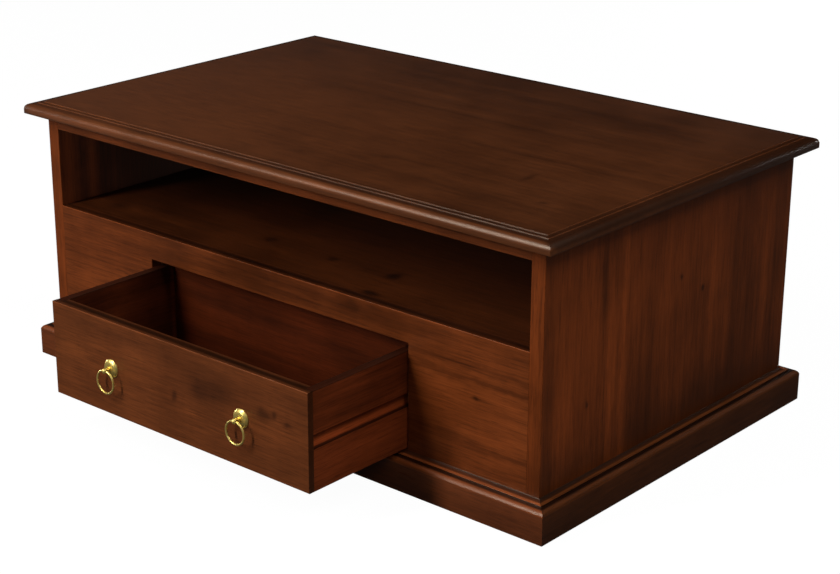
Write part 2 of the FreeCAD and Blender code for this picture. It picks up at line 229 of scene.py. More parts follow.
panel_dark = (0.0495, 0.0109, 0.0022)
panel_light = (0.217, 0.0440, 0.0079)
panel_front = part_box("side_panel_right")[0].y
panel_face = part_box("side_panel_right")[1].x
panel_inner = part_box("side_panel_left")[1].x
panel_marks = [
    # Inner face: strips near the front that are partly grain, partly painted light, and painted shade
    # further back.
    ((panel_inner, -0.303, 0.35), (0.02, 0.016, 0.30), 0.45),
    ((panel_inner, -0.252, 0.35), (0.02, 0.010, 0.30), 0.35),
    ((panel_inner, -0.276, 0.35), (0.02, 0.008, 0.30), -0.25),
    ((panel_inner, -0.040, 0.35), (0.02, 0.180, 0.30), -0.85),
    # Outer face: painted shade along the foot and through the middle, and painted light high up near the
    # front.
    ((panel_face, 0.060, 0.050), (0.05, 0.600, 0.070), -0.34),
    ((panel_face, 0.080, 0.200), (0.05, 0.150, 0.30), -0.14),
    ((panel_face, -0.270, 0.280), (0.05, 0.110, 0.20), 0.12),
    ((panel_face, -0.267, 0.180), (0.05, 0.022, 0.09), 0.28),
    ((panel_face, -0.160, 0.170), (0.05, 0.011, 0.13), 0.34),
    ((panel_face, -0.132, 0.240), (0.05, 0.005, 0.20), 0.26),
    ((panel_face, -0.102, 0.280), (0.05, 0.020, 0.06), 0.14),
    ((panel_face, 0.100, 0.230), (0.05, 0.005, 0.10), 0.22),
    ((panel_face, 0.256, 0.220), (0.05, 0.008, 0.11), 0.2),
    ((panel_face, -0.181, 0.340), (0.05, 0.010, 0.10), -0.26),
    ((panel_face, -0.310, 0.230), (0.05, 0.016, 0.20), -0.16),
    ((panel_face, -0.060, 0.150), (0.05, 0.008, 0.10), -0.12),
    ((panel_face, 0.165, 0.200), (0.05, 0.012, 0.22), -0.2),
    ((panel_face, 0.295, 0.330), (0.05, 0.024, 0.14), -0.1),
    ((panel_face, 0.016, 0.296), (0.02, 0.004, 0.004), -0.55),
    ((panel_face, 0.075, 0.266), (0.02, 0.0035, 0.0035), -0.9),
    ((panel_face, -0.216, 0.167), (0.02, 0.003, 0.006), -0.5),
]
unbroken = 9.0
panel_arris = 0.003
panel_lines = [
    ((0.0, panel_front, 0.0), (unbroken, panel_arris, unbroken), 0.06),
    ((0.0, -panel_front, 0.0), (unbroken, panel_arris, unbroken), 0.06),
]
side_wood = stained_wood(
    "side_panel_wood", along="Z", across="Y", plank_width=0.33, dark=panel_dark, light=panel_light,
    seed=3.4, marks=panel_marks, lines=panel_lines, figure=0.24,
)
dress(side_wood, "side_panel_left", "side_panel_right")


# Shelf
# One wide board housed in the side panels, with its front and back edges behind the fascias.
# The same stain as the panels, but duller, because hands and magazines have rubbed its lacquer.
shelf_dark = (0.02, 0.0047, 0.0011)
shelf_light = (0.068, 0.0152, 0.0032)
shelf_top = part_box("shelf_board")[1].z
shelf_marks = [
    # Painted shade at the back left under the top, and painted light at the back right and in a band near
    # the front.
    ((-0.450, 0.080, shelf_top), (0.36, 0.260, 0.02), -0.5),
    ((0.300, -0.030, shelf_top), (0.36, 0.190, 0.02), 0.45),
    ((-0.100, -0.190, shelf_top), (0.34, 0.050, 0.02), 0.25),
    ((-0.109, -0.214, shelf_top), (0.012, 0.010, 0.02), -0.5),
    ((0.031, -0.218, shelf_top), (0.008, 0.008, 0.02), -0.5),
    ((0.156, -0.214, shelf_top), (0.010, 0.012, 0.02), -0.8),
    ((0.177, -0.294, shelf_top), (0.016, 0.008, 0.02), -0.7),
    ((-0.427, -0.257, shelf_top), (0.020, 0.018, 0.02), -0.4),
]
shelf_wood = stained_wood(
    "shelf_wood", along="X", across="Y", plank_width=0.16, dark=shelf_dark, light=shelf_light,
    seed=11.7, marks=shelf_marks, figure=0.4, roughness=0.5, lacquer=0.08,
)
dress(shelf_wood, "shelf_board")


# Fascias
# A wide board along the front and the back of the carcass, with the drawer's opening sawn through it.
# The grain runs the length of the table, and the lacquer has rubbed thin along the arrises.
fascia_dark = (0.05, 0.0114, 0.0028)
fascia_light = (0.215, 0.0475, 0.0098)
fascia_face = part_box("front_fascia")[0].y
fascia_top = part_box("front_fascia")[1].z
fascia_marks = [
    ((0.44, fascia_face, 0.150), (0.14, 0.03, 0.080), 0.25),
    ((0.05, fascia_face, 0.250), (0.30, 0.03, 0.030), -0.30),
    ((0.41, fascia_face, 0.223), (0.14, 0.03, 0.006), -0.22),
    ((0.42, fascia_face, 0.203), (0.13, 0.03, 0.005), -0.3),
    ((0.44, fascia_face, 0.101), (0.10, 0.03, 0.006), -0.24),
    ((0.406, fascia_face, 0.176), (0.006, 0.02, 0.004), -0.6),
    ((0.44, fascia_face, 0.120), (0.07, 0.03, 0.014), 0.16),
    ((0.167, fascia_face, 0.259), (0.013, 0.02, 0.008), -0.45),
    ((-0.33, fascia_face, 0.256), (0.06, 0.02, 0.006), 0.14),
    ((-0.44, fascia_face, 0.150), (0.05, 0.03, 0.03), 0.1),
]
fascia_arris_reach = (unbroken, 0.0012, 0.0012)
fascia_edge_middle = fascia_face + 0.011
fascia_edge_reach = (unbroken, 0.0085, 0.0006)
fascia_lines = []
for side in (1, -1):
    fascia_lines.append(((0.0, side * fascia_face, fascia_top), fascia_arris_reach, 0.5))
    fascia_lines.append(((0.0, side * fascia_edge_middle, fascia_top), fascia_edge_reach, -1.1))
fascia_wood = stained_wood(
    "fascia_wood", along="X", across="Z", plank_width=0.5, dark=fascia_dark, light=fascia_light,
    seed=5.2, marks=fascia_marks, lines=fascia_lines, figure=0.32,
)
dress(fascia_wood, "front_fascia", "back_fascia", "top_rail_front", "top_rail_back")


# Plinth
# Four boards round the foot of the carcass, each with a cove, a quirk and an ovolo along its upper edge.
# They are mitred at the corners, glued to the carcass, and stained and lacquered with it.
class Moulding:
    """The outline of a moulding's section, drawn from point to point, with round stretches as arcs."""

    def __init__(self):
        self.points = []

    def to(self, across, up):
        self.points.append(Vector((across, up)))
        return self

    def arc(self, across, up, sag, steps):
        """A round stretch from the last point, bulging to its left by the sag."""
        start = self.points[-1]
        end = Vector((across, up))
        chord = end - start
        left = Vector((-chord.y, chord.x)).normalized()
        radius = (chord.length ** 2 / 4 + sag ** 2) / (2 * abs(sag))
        half = math.asin(min(1.0, chord.length / 2 / radius))
        side = math.copysign(1.0, sag)
        centre = start + chord / 2 + left * (sag - side * radius)
        for step in range(1, steps + 1):
            turn = half * (2 * step / steps - 1)
            reach = left * side * math.cos(turn) + chord.normalized() * math.sin(turn)
            self.points.append(centre + reach * radius)
        return self


def new_piece(name, mesh, finish, slot, body, *replaced):
    """A finished piece in its place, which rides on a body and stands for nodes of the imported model."""
    piece = bpy.data.objects.new(name, mesh)
    bpy.context.scene.collection.objects.link(piece)
    if not mesh.materials:
        mesh.materials.append(finish)
    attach(piece, body)
    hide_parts(*replaced)


class Recipe(Tone):
    """A Geometry Nodes tree being written: named sizes come in, and a finished mesh goes out."""

    def __init__(self, name, sizes):
        tree = bpy.data.node_groups.new(name, "GeometryNodeTree")
        super().__init__(tree)
        tree.interface.new_socket("Geometry", in_out="INPUT", socket_type="NodeSocketGeometry")
        for size, kind in sizes.items():
            tree.interface.new_socket(size, in_out="INPUT", socket_type=kind)
        tree.interface.new_socket("Geometry", in_out="OUTPUT", socket_type="NodeSocketGeometry")
        self.given = tree.nodes.new("NodeGroupInput")

    def size(self, name):
        return Tone(self.tree, self.given.outputs[name])

    def finished(self, shape, finish):
        """Ends the tree with real faces and a material."""
        real = shape.node("GeometryNodeRealizeInstances", {}, {"Geometry": shape}, "Geometry")
        values = {"Geometry": real, "Material": finish}
        coated = real.node("GeometryNodeSetMaterial", {}, values, "Geometry")
        end = self.tree.nodes.new("NodeGroupOutput")
        self.tree.links.new(coated.socket, end.inputs["Geometry"])

    def baked(self, seed_mesh, values, smooth_angle):
        """The plain mesh that the tree makes of a seed mesh and these sizes."""
        holder = bpy.data.objects.new(self.tree.name, seed_mesh)
        bpy.context.scene.collection.objects.link(holder)
        modifier = holder.modifiers.new("recipe", "NODES")
        modifier.node_group = self.tree
        for item in self.tree.interface.items_tree:
            if item.in_out == "INPUT" and item.name in values:
                modifier[item.identifier] = values[item.name]
        depsgraph = bpy.context.evaluated_depsgraph_get()
        mesh = bpy.data.meshes.new_from_object(holder.evaluated_get(depsgraph))
        holder.modifiers.remove(modifier)
        bpy.data.objects.remove(holder)
        mesh.shade_smooth()
        mesh.set_sharp_from_angle(angle=smooth_angle)
        return mesh


plinth_thickness = 0.025
plinth_height = 0.058
plinth_face_height = 0.0455
cove_width = 0.0115
cove_drop = 0.0042
cove_sag = 0.0016
quirk_drop = 0.0012
quirk_width = 0.002
ovolo_sag = 0.0024
worn_edge = 0.0006

quirk_height = plinth_height - cove_drop
ledge_height = quirk_height - quirk_drop
shoulder = cove_width + quirk_width
plinth_section = Moulding()
plinth_section.to(0.0, 0.0).to(0.0, plinth_height)
plinth_section.arc(cove_width - worn_edge / 2, quirk_height, -cove_sag, 10)
plinth_section.arc(cove_width, quirk_height - worn_edge / 2, worn_edge / 6, 3)
plinth_section.to(cove_width, ledge_height).to(shoulder, ledge_height)
plinth_section.arc(plinth_thickness, plinth_face_height, ovolo_sag, 12)
plinth_section.to(plinth_thickness, worn_edge * 2)
plinth_section.arc(plinth_thickness - worn_edge * 2, 0.0, worn_edge * 0.6, 4)


def section_face(points):
    """The section as one upright face that looks along -X, drawn outwards from Y = 0 to -Y."""
    mesh = bpy.data.meshes.new("section")
    drawn = bmesh.new()
    corners = [drawn.verts.new((0.0, -p.x, p.y)) for p in points]
    face = drawn.faces.new(corners)
    face.normal_update()
    if face.normal.x > 0:
        face.normal_flip()
    drawn.to_mesh(mesh)
    drawn.free()
    return mesh


def mitred_board(finish):
    """A recipe for a moulded board: the section drawn out to a length, mitred and set before its wall."""
    sizes = {"Half Length": "NodeSocketFloat", "Wall": "NodeSocketFloat", "Turn": "NodeSocketVector"}
    weld_distance = 1e-6
    recipe = Recipe("mitred_board", sizes)
    section = recipe.size("Geometry")
    drawn_out = section.node("GeometryNodeExtrudeMesh", {"mode": "FACES"}, {"Mesh": section}, "Mesh")
    far_end = section.node("GeometryNodeFlipFaces", {}, {"Mesh": section}, "Mesh")
    joined = far_end.node("GeometryNodeJoinGeometry", {}, {"Geometry": far_end}, "Geometry")
    recipe.tree.links.new(drawn_out.socket, joined.socket.node.inputs["Geometry"])
    values = {"Geometry": joined, "Distance": weld_distance}
    closed = joined.node("GeometryNodeMergeByDistance", {}, values, "Geometry")
    place = closed.node("GeometryNodeInputPosition", {}, {}, "Position")
    x = place.node("ShaderNodeSeparateXYZ", {}, {"Vector": place}, "X")
    end = x * 2.0 + 1.0
    mitred = {
        "X": end * (recipe.size("Half Length") - x.beside("Y")),
        "Y": x.beside("Y") - recipe.size("Wall"),
        "Z": x.beside("Z"),
    }
    position = x.node("ShaderNodeCombineXYZ", {}, mitred, "Vector")
    values = {"Geometry": closed, "Position": position}
    cut = closed.node("GeometryNodeSetPosition", {}, values, "Geometry")
    turn = recipe.size("Turn")
    turn = turn.node("FunctionNodeEulerToRotation", {}, {"Euler": turn}, "Rotation")
    turned = cut.node("GeometryNodeTransform", {}, {"Geometry": cut, "Rotation": turn}, "Geometry")
    recipe.finished(turned, finish)
    return recipe


plinth_dark = (0.05, 0.012, 0.0036)
plinth_light = (0.165, 0.039, 0.0098)
end_plinth_dark = (0.0235, 0.0062, 0.0018)
end_plinth_light = (0.0745, 0.0195, 0.0046)
carcass_half_width = panel_face
carcass_half_depth = -fascia_face
plinth_lines = [
    ((0.0, 0.0, plinth_height - 0.0012), (unbroken, unbroken, 0.0024), -0.9),
    ((0.0, 0.0, quirk_height), (unbroken, unbroken, 0.0004), 1.1),
    ((0.0, 0.0, ledge_height), (unbroken, unbroken, 0.0006), -1.4),
    ((0.0, 0.0, plinth_face_height), (unbroken, unbroken, 0.0006), 0.6),
    # The ovolo's middle lighter: partly worn lacquer, partly a painted highlight.
    ((0.0, 0.0, plinth_face_height + 0.004), (unbroken, unbroken, 0.0025), 0.5),
]
long_plinth_wood = stained_wood(
    "long_plinth_wood", along="X", across="Z", plank_width=0.4, dark=plinth_dark, light=plinth_light,
    seed=7.9, lines=plinth_lines, figure=0.22, roughness=0.29, lacquer=0.5,
)
end_plinth_wood = stained_wood(
    "end_plinth_wood", along="Y", across="Z", plank_width=0.4, dark=end_plinth_dark, light=end_plinth_light,
    seed=8.6, lines=plinth_lines, figure=0.2, roughness=0.34, lacquer=0.3,
)
plinth_crease = math.radians(35)
for side, quarter, half_length, wall, finish in (
    ("front", 0, carcass_half_width, carcass_half_depth, long_plinth_wood),
    ("right", 1, carcass_half_depth, carcass_half_width, end_plinth_wood),
    ("back", 2, carcass_half_width, carcass_half_depth, long_plinth_wood),
    ("left", 3, carcass_half_depth, carcass_half_width, end_plinth_wood),
):
    recipe = mitred_board(finish)
    values = {"Half Length": half_length, "Wall": wall, "Turn": (0.0, 0.0, quarter * math.pi / 2)}
    mesh = recipe.baked(section_face(plinth_section.points), values, plinth_crease)
    new_piece("moulded_plinth_" + side, mesh, finish, "plinth_wood", "carcass", "plinth_" + side)


# Inner frame
# Partitions beside the drawers, runners, cleats and glue blocks, which hold the carcass together inside.
# They are planed from plain wood and left without stain or lacquer.
def planed_wood(name, along, pale, brown, seed):
    """Bare planed wood with growth rings, saw fuzz and a dry surface."""
    finish, start = new_finish(name)
    place = start.node("ShaderNodeTexCoord", {}, {}, "Object")
    x = place.node("ShaderNodeSeparateXYZ", {}, {"Vector": place}, "X")
    run = {"X": x, "Y": x.beside("Y"), "Z": x.beside("Z")}
    across, through = (axis for axis in "XYZ" if axis != along)

    def grain(lengthwise, crosswise, detail):
        stretched = {
            "X": run[along] * lengthwise + seed,
            "Y": run[across] * crosswise,
            "Z": run[through] * crosswise,
        }
        return cloudy(x.node("ShaderNodeCombineXYZ", {}, stretched, "Vector"), 1.0, detail)

    flow = grain(2.0, 16.0, 1.0)
    rings = x.math("SINE", flow * 90.0) * 0.5 + 0.5
    fibres = grain(30.0, 800.0, 2.0)
    tone = rings * 0.35 + flow * 0.5 + fibres * 0.5 - 0.15
    colour = mixed(rise(tone, 0.0, 1.0), opaque(pale), opaque(brown))
    bump = {"Strength": 0.15, "Distance": 0.0006, "Height": fibres}
    surface(start, {
        "Base Color": colour,
        "Roughness": fibres * 0.2 + 0.6,
        "Specular IOR Level": 0.25,
        "Normal": fibres.node("ShaderNodeBump", {}, bump, "Normal"),
    })
    return finish


bare_pale = (0.36, 0.215, 0.115)
bare_brown = (0.235, 0.115, 0.052)
bare_long = planed_wood("bare_wood_lengthwise", "Y", bare_pale, bare_brown, 2.3)
bare_upright = planed_wood("bare_wood_upright", "Z", bare_pale, bare_brown, 6.1)
for side in ("left", "right"):
    dress(bare_long, "drawer_partition_" + side, "drawer_runner_" + side, "top_cleat_" + side)
    dress(bare_long, "shelf_glue_blocks_" + side)
    dress(bare_upright, "corner_block_front_" + side, "corner_block_back_" + side)


# Table top
# One board that overhangs the carcass, with two fine steps and an ovolo worked round all four edges.
# Stained darker than the rest and lacquered. Its end grain took up more stain, and its arrises are
# softened.
# The edges carry painted light, partly with wear, and the field carries a painted sheen at the left
# and painted shade towards the back.
top_low, top_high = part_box("table_top")
field_inset = 0.025
ledge_inset = 0.017
fillet_drop = 0.0015
step_drop = 0.003
ovolo_radius = 0.0095
fine_arris = 0.0004
soft_arris = 0.0007
corner_softness = 0.0012
corner_steps = 5
top_crease = math.radians(32)

z_field = top_high.z
z_fillet = z_field - fillet_drop
z_ledge = z_field - step_drop
z_square = z_ledge - ovolo_radius
quarter_sag = 1 - math.sqrt(0.5)
top_section = Moulding()
for inset, upper, lower in ((field_inset, z_field, z_fillet), (ledge_inset, z_fillet, z_ledge)):
    top_section.to(inset + fine_arris, upper)
    top_section.arc(inset, upper - fine_arris, -fine_arris * quarter_sag, 4)
    top_section.to(inset, lower + fine_arris)
    top_section.arc(inset - fine_arris, lower, fine_arris * quarter_sag, 4)
top_section.to(ovolo_radius, z_ledge)
top_section.arc(0.0, z_square, -ovolo_radius * quarter_sag, 16)
top_section.to(0.0, top_low.z + soft_arris * 2)
top_section.arc(soft_arris * 2, top_low.z, -soft_arris * 2 * quarter_sag, 4)


def rounded_outline(low, high, inset, radius, height):
    """The corners of a rectangle seen from above, each as a small arc, anticlockwise."""
    outline = []
    for quarter, (x_side, y_side) in enumerate(((1, 1), (-1, 1), (-1, -1), (1, -1))):
        x = (high.x if x_side > 0 else low.x) - x_side * (inset + radius)
        y = (high.y if y_side > 0 else low.y) - y_side * (inset + radius)
        for step in range(corner_steps + 1):
            turn = math.pi / 2 * (quarter + step / corner_steps)
            outline.append((x + radius * math.cos(turn), y + radius * math.sin(turn), height))
    return outline


def moulded_board(name, low, high, section):
    """A board whose moulded edge follows its outline, closed above and below."""
    shape = bmesh.new()
    loops = []
    for point in section:
        radius = max(corner_softness - point.x * 0.5, soft_arris * 0.25)
        outline = rounded_outline(low, high, point.x, radius, point.y)
        loops.append([shape.verts.new(corner) for corner in outline])
    for upper, lower in zip(loops, loops[1:]):
        for index, corner in enumerate(upper):
            after = (index + 1) % len(upper)
            shape.faces.new((corner, lower[index], lower[after], upper[after]))
    shape.faces.new(loops[0])
    shape.faces.new(reversed(loops[-1]))
    mesh = bpy.data.meshes.new(name)
    shape.to_mesh(mesh)
    shape.free()
    mesh.shade_smooth()
    mesh.set_sharp_from_angle(angle=top_crease)
    return mesh


top_dark = (0.0248, 0.0064, 0.0017)
top_light = (0.0836, 0.0226, 0.0058)
top_marks = [
    # Painted sheen over the left of the field, and painted shade towards its back.
    ((-0.50, -0.15, z_field), (0.40, 0.36, 0.05), 0.46),
    ((0.15, 0.33, z_field), (0.60, 0.20, 0.05), -0.12),
    ((0.02, 0.074, z_field), (0.26, 0.003, 0.03), -0.22),
    ((0.32, -0.045, z_field), (0.16, 0.004, 0.03), -0.18),
    ((0.34, -0.064, z_field), (0.14, 0.004, 0.03), 0.16),
    ((0.345, -0.133, z_field), (0.006, 0.020, 0.03), -0.3),
    ((0.437, -0.218, z_field), (0.008, 0.005, 0.03), -0.35),
    ((0.118, -0.195, z_field), (0.010, 0.006, 0.03), -0.3),
    ((-0.224, -0.029, z_field), (0.014, 0.006, 0.03), -0.25),
    ((0.46, -0.28, z_field), (0.18, 0.12, 0.05), -0.15),
]
long_edge_depth = 0.012
end_grain_depth = 0.0105
step_reach = (0.0012, unbroken, 0.0006)
top_lines = [
    # Painted light on the upright faces of the fine steps, and the flats at their feet darker.
    ((0.0, 0.0, (z_field + z_fillet) / 2), (unbroken, unbroken, 0.0004), 1.0),
    ((0.0, 0.0, z_fillet), (unbroken, unbroken, 0.0003), -0.3),
    ((0.0, 0.0, (z_fillet + z_ledge) / 2), (unbroken, unbroken, 0.0004), 0.9),
    ((0.0, 0.0, z_ledge), (unbroken, unbroken, 0.0004), -0.4),
    # Long edges lighter over the ovolo and square, partly worn and partly painted highlight, most at the
    # front right.
    ((0.0, top_low.y, z_square), (unbroken, long_edge_depth, 0.0090), 0.7),
    ((0.0, top_high.y, z_square), (unbroken, long_edge_depth, 0.0090), 0.7),
    ((0.25, top_low.y, z_square + 0.005), (0.36, long_edge_depth, 0.0042), 0.8),
    ((top_high.x, 0.0, z_square), (end_grain_depth, unbroken, 0.05), -0.76),
    ((top_low.x, 0.0, z_square), (end_grain_depth, unbroken, 0.05), -0.76),
    # Painted light on the right end's edge, strongest at the front corner and fading towards the back.
    ((top_high.x, top_low.y, (top_low.z + z_square) / 2), (end_grain_depth, 0.5, 0.0065), 0.95),
]
# Painted light on the upright faces of the fine steps at the ends as well.
for inset, height, change in ((field_inset, z_fillet, 0.3), (ledge_inset, z_ledge, 0.7)):
    for end in (top_high.x - inset, top_low.x + inset):
        top_lines.append(((end, 0.0, height + fillet_drop / 2), step_reach, change))
top_wood = stained_wood(
    "top_wood", along="X", across="Y", plank_width=0.14, dark=top_dark, light=top_light,
    seed=15.3, marks=top_marks, lines=top_lines, figure=0.28, roughness=0.36, lacquer=0.5,
)
mesh = moulded_board("moulded_table_top", top_low, top_high, top_section.points)
new_piece("moulded_table_top", mesh, top_wood, "top_wood", "carcass", "table_top")


# Drawer fronts
# One board each, lapped over the ends of the drawer's sides so that no joint shows from the front.
# Stained as the fascias are, with dark patches where the stain soaked in beside the knots.
drawer_dark = (0.057, 0.0150, 0.0044)
drawer_light = (0.188, 0.0485, 0.0121)
drawer_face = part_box("front_drawer_face")[0].y
drawer_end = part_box("front_drawer_face")[1].x
drawer_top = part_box("front_drawer_face")[1].z
end_line_depth = 0.0006
drawer_arris_reach = (unbroken, 0.0014, 0.0014)
drawer_edge_middle = 0.0115
drawer_edge_reach = (unbroken, 0.0085, 0.0007)
drawer_lines = [
    ((drawer_end, 0.0, 0.0), (end_line_depth, unbroken, unbroken), -0.9),
    ((-drawer_end, 0.0, 0.0), (end_line_depth, unbroken, unbroken), -0.9),
]
for face_y, inwards in ((drawer_face, 1), (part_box("back_drawer_face")[1].y, -1)):
    drawer_lines.append(((0.0, face_y, drawer_top), drawer_arris_reach, 0.4))
    middle = (0.0, face_y + inwards * drawer_edge_middle, drawer_top)
    drawer_lines.append((middle, drawer_edge_reach, -1.5))
drawer_marks = [
    ((0.085, drawer_face, 0.163), (0.045, 0.03, 0.020), -0.34),
    ((0.053, drawer_face, 0.157), (0.013, 0.03, 0.014), -0.3),
    ((0.187, drawer_face, 0.157), (0.013, 0.03, 0.009), -0.55),
    ((0.207, drawer_face, 0.162), (0.004, 0.02, 0.006), -0.5),
    ((0.235, drawer_face, 0.155), (0.009, 0.02, 0.004), -0.45),
    ((0.000, drawer_face, 0.132), (0.006, 0.02, 0.008), -0.5),
    ((0.030, drawer_face, 0.115), (0.030, 0.02, 0.004), 0.2),
    ((-0.225, drawer_face, 0.145), (0.034, 0.03, 0.014), 0.2),
    ((0.220, drawer_face, 0.132), (0.044, 0.03, 0.018), 0.16),
    ((-0.130, drawer_face, 0.195), (0.100, 0.03, 0.014), -0.14),
]
drawer_wood = stained_wood(
    "drawer_front_wood", along="X", across="Z", plank_width=0.5, dark=drawer_dark, light=drawer_light,
    seed=21.6, marks=drawer_marks, lines=drawer_lines, figure=0.2,
)
dress(drawer_wood, "front_drawer_face", "back_drawer_face")


# Drawer boxes
# Sides grooved for the runners, with the back housed between them and a thin bottom let in all round.
# They had one thin coat of the same stain, so the grain stays lively and the surface nearly dry.
box_dark = (0.032, 0.006, 0.0016)
box_light = (0.196, 0.0370, 0.0088)
inner_dark = (0.026, 0.0044, 0.001)
inner_light = (0.084, 0.0134, 0.0025)
side_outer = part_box("front_drawer_right_side")[1].x
side_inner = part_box("front_drawer_right_side")[0].x
side_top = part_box("front_drawer_right_side")[1].z
groove_depth = 0.008
groove_floor = side_outer - groove_depth
groove_low = 0.127
groove_high = 0.149
below_groove = 0.096
back_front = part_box("front_drawer_back_board")[0].y
side_lines = [
    ((-side_inner, back_front - 0.004, 0.0), (0.0012, 0.005, unbroken), 0.35),
    ((0.0, 0.0, side_top), (unbroken, unbroken, 0.0007), -0.8),
]
for hand in (1, -1):
    # Groove floor lighter low down, partly rubbed by the runner, partly painted light; its lower wall in
    # painted shade.
    side_lines.append(((hand * groove_floor, 0.0, groove_low + 0.004), (0.0015, unbroken, 0.007), 1.1))
    side_lines.append(((hand * side_outer, 0.0, groove_low), (0.0060, unbroken, 0.0005), -1.2))
    side_lines.append(((hand * side_outer, 0.0, groove_high), (0.0008, unbroken, 0.0008), 0.3))
    side_lines.append(((hand * side_inner, 0.0, 0.0), (0.0020, unbroken, unbroken), -0.28))
    side_lines.append(((hand * side_outer, 0.0, below_groove), (0.0020, unbroken, 0.025), 0.3))
side_board_wood = stained_wood(
    "drawer_side_wood", along="Y", across="Z", plank_width=0.3, dark=box_dark, light=box_light,
    seed=31.2, lines=side_lines, figure=0.38, roughness=0.5, lacquer=0.15,
)
back_board_wood = stained_wood(
    "drawer_back_wood", along="X", across="Z", plank_width=0.3, dark=inner_dark, light=inner_light,
    seed=33.8, roughness=0.5, lacquer=0.12,
)
bottom_wood = stained_wood(
    "drawer_bottom_wood", along="X", across="Y", plank_width=0.13, dark=inner_dark, light=inner_light,
    seed=36.5, roughness=0.55, lacquer=0.12,
)
for drawer in ("front_drawer_", "back_drawer_"):
    dress(side_board_wood, drawer + "left_side", drawer + "right_side")
    dress(back_board_wood, drawer + "back_board")
    dress(bottom_wood, drawer + "bottom_board")


# Ring pulls
# Cast brass: a domed rosette against the drawer front, a turned eye through its middle and a loose ring.
# Polished once, then left to dull, so that the hollows are browner than the rubbed high places.
def worn_brass(name):
    """Brass with a mottled tarnish, bright where it is rubbed."""
    rubbed = (0.95, 0.75, 0.23)
    tarnished = (0.72, 0.48, 0.1)
    finish, start = new_finish(name)
    place = start.node("ShaderNodeTexCoord", {}, {}, "Object")
    tarnish = cloudy(place, 260.0, 3.0)
    specks = cloudy(place, 1500.0, 2.0)
    dull = rise(tarnish * 0.7 + specks * 0.3, 0.4, 0.68)
    bump = {"Strength": 0.08, "Distance": 0.0003, "Height": specks}
    surface(start, {
        "Base Color": mixed(dull, opaque(rubbed), opaque(tarnished)),
        "Metallic": 0.85,
        "Roughness": dull * 0.14 + specks * 0.08 + 0.26,
        "Normal": specks.node("ShaderNodeBump", {}, bump, "Normal"),
    })
    return finish


brass = worn_brass("worn_brass")
for drawer in ("front_drawer_", "back_drawer_"):
    dress(brass, drawer + "pull_nuts")
    for side in ("left_", "right_"):
        dress(brass, drawer + side + "rosette", drawer + side + "eye", drawer + side + "ring")


# Screws and nails
# Slotted screws hold the cleats and runners, and wire nails hold each drawer bottom to the drawer back.
# They are zinc-plated steel; the screws are sunk flush, and their slots stand as the driver left them.
def zinc_steel(name):
    """Steel under bright zinc, with a grey bloom."""
    bright = (0.52, 0.52, 0.53)
    grey = (0.33, 0.33, 0.34)
    finish, start = new_finish(name)
    place = start.node("ShaderNodeTexCoord", {}, {}, "Object")
    bloom = cloudy(place, 700.0, 3.0)
    surface(start, {
        "Base Color": mixed(bloom, opaque(bright), opaque(grey)),
        "Metallic": 1.0,
        "Roughness": bloom * 0.3 + 0.25,
    })
    return finish


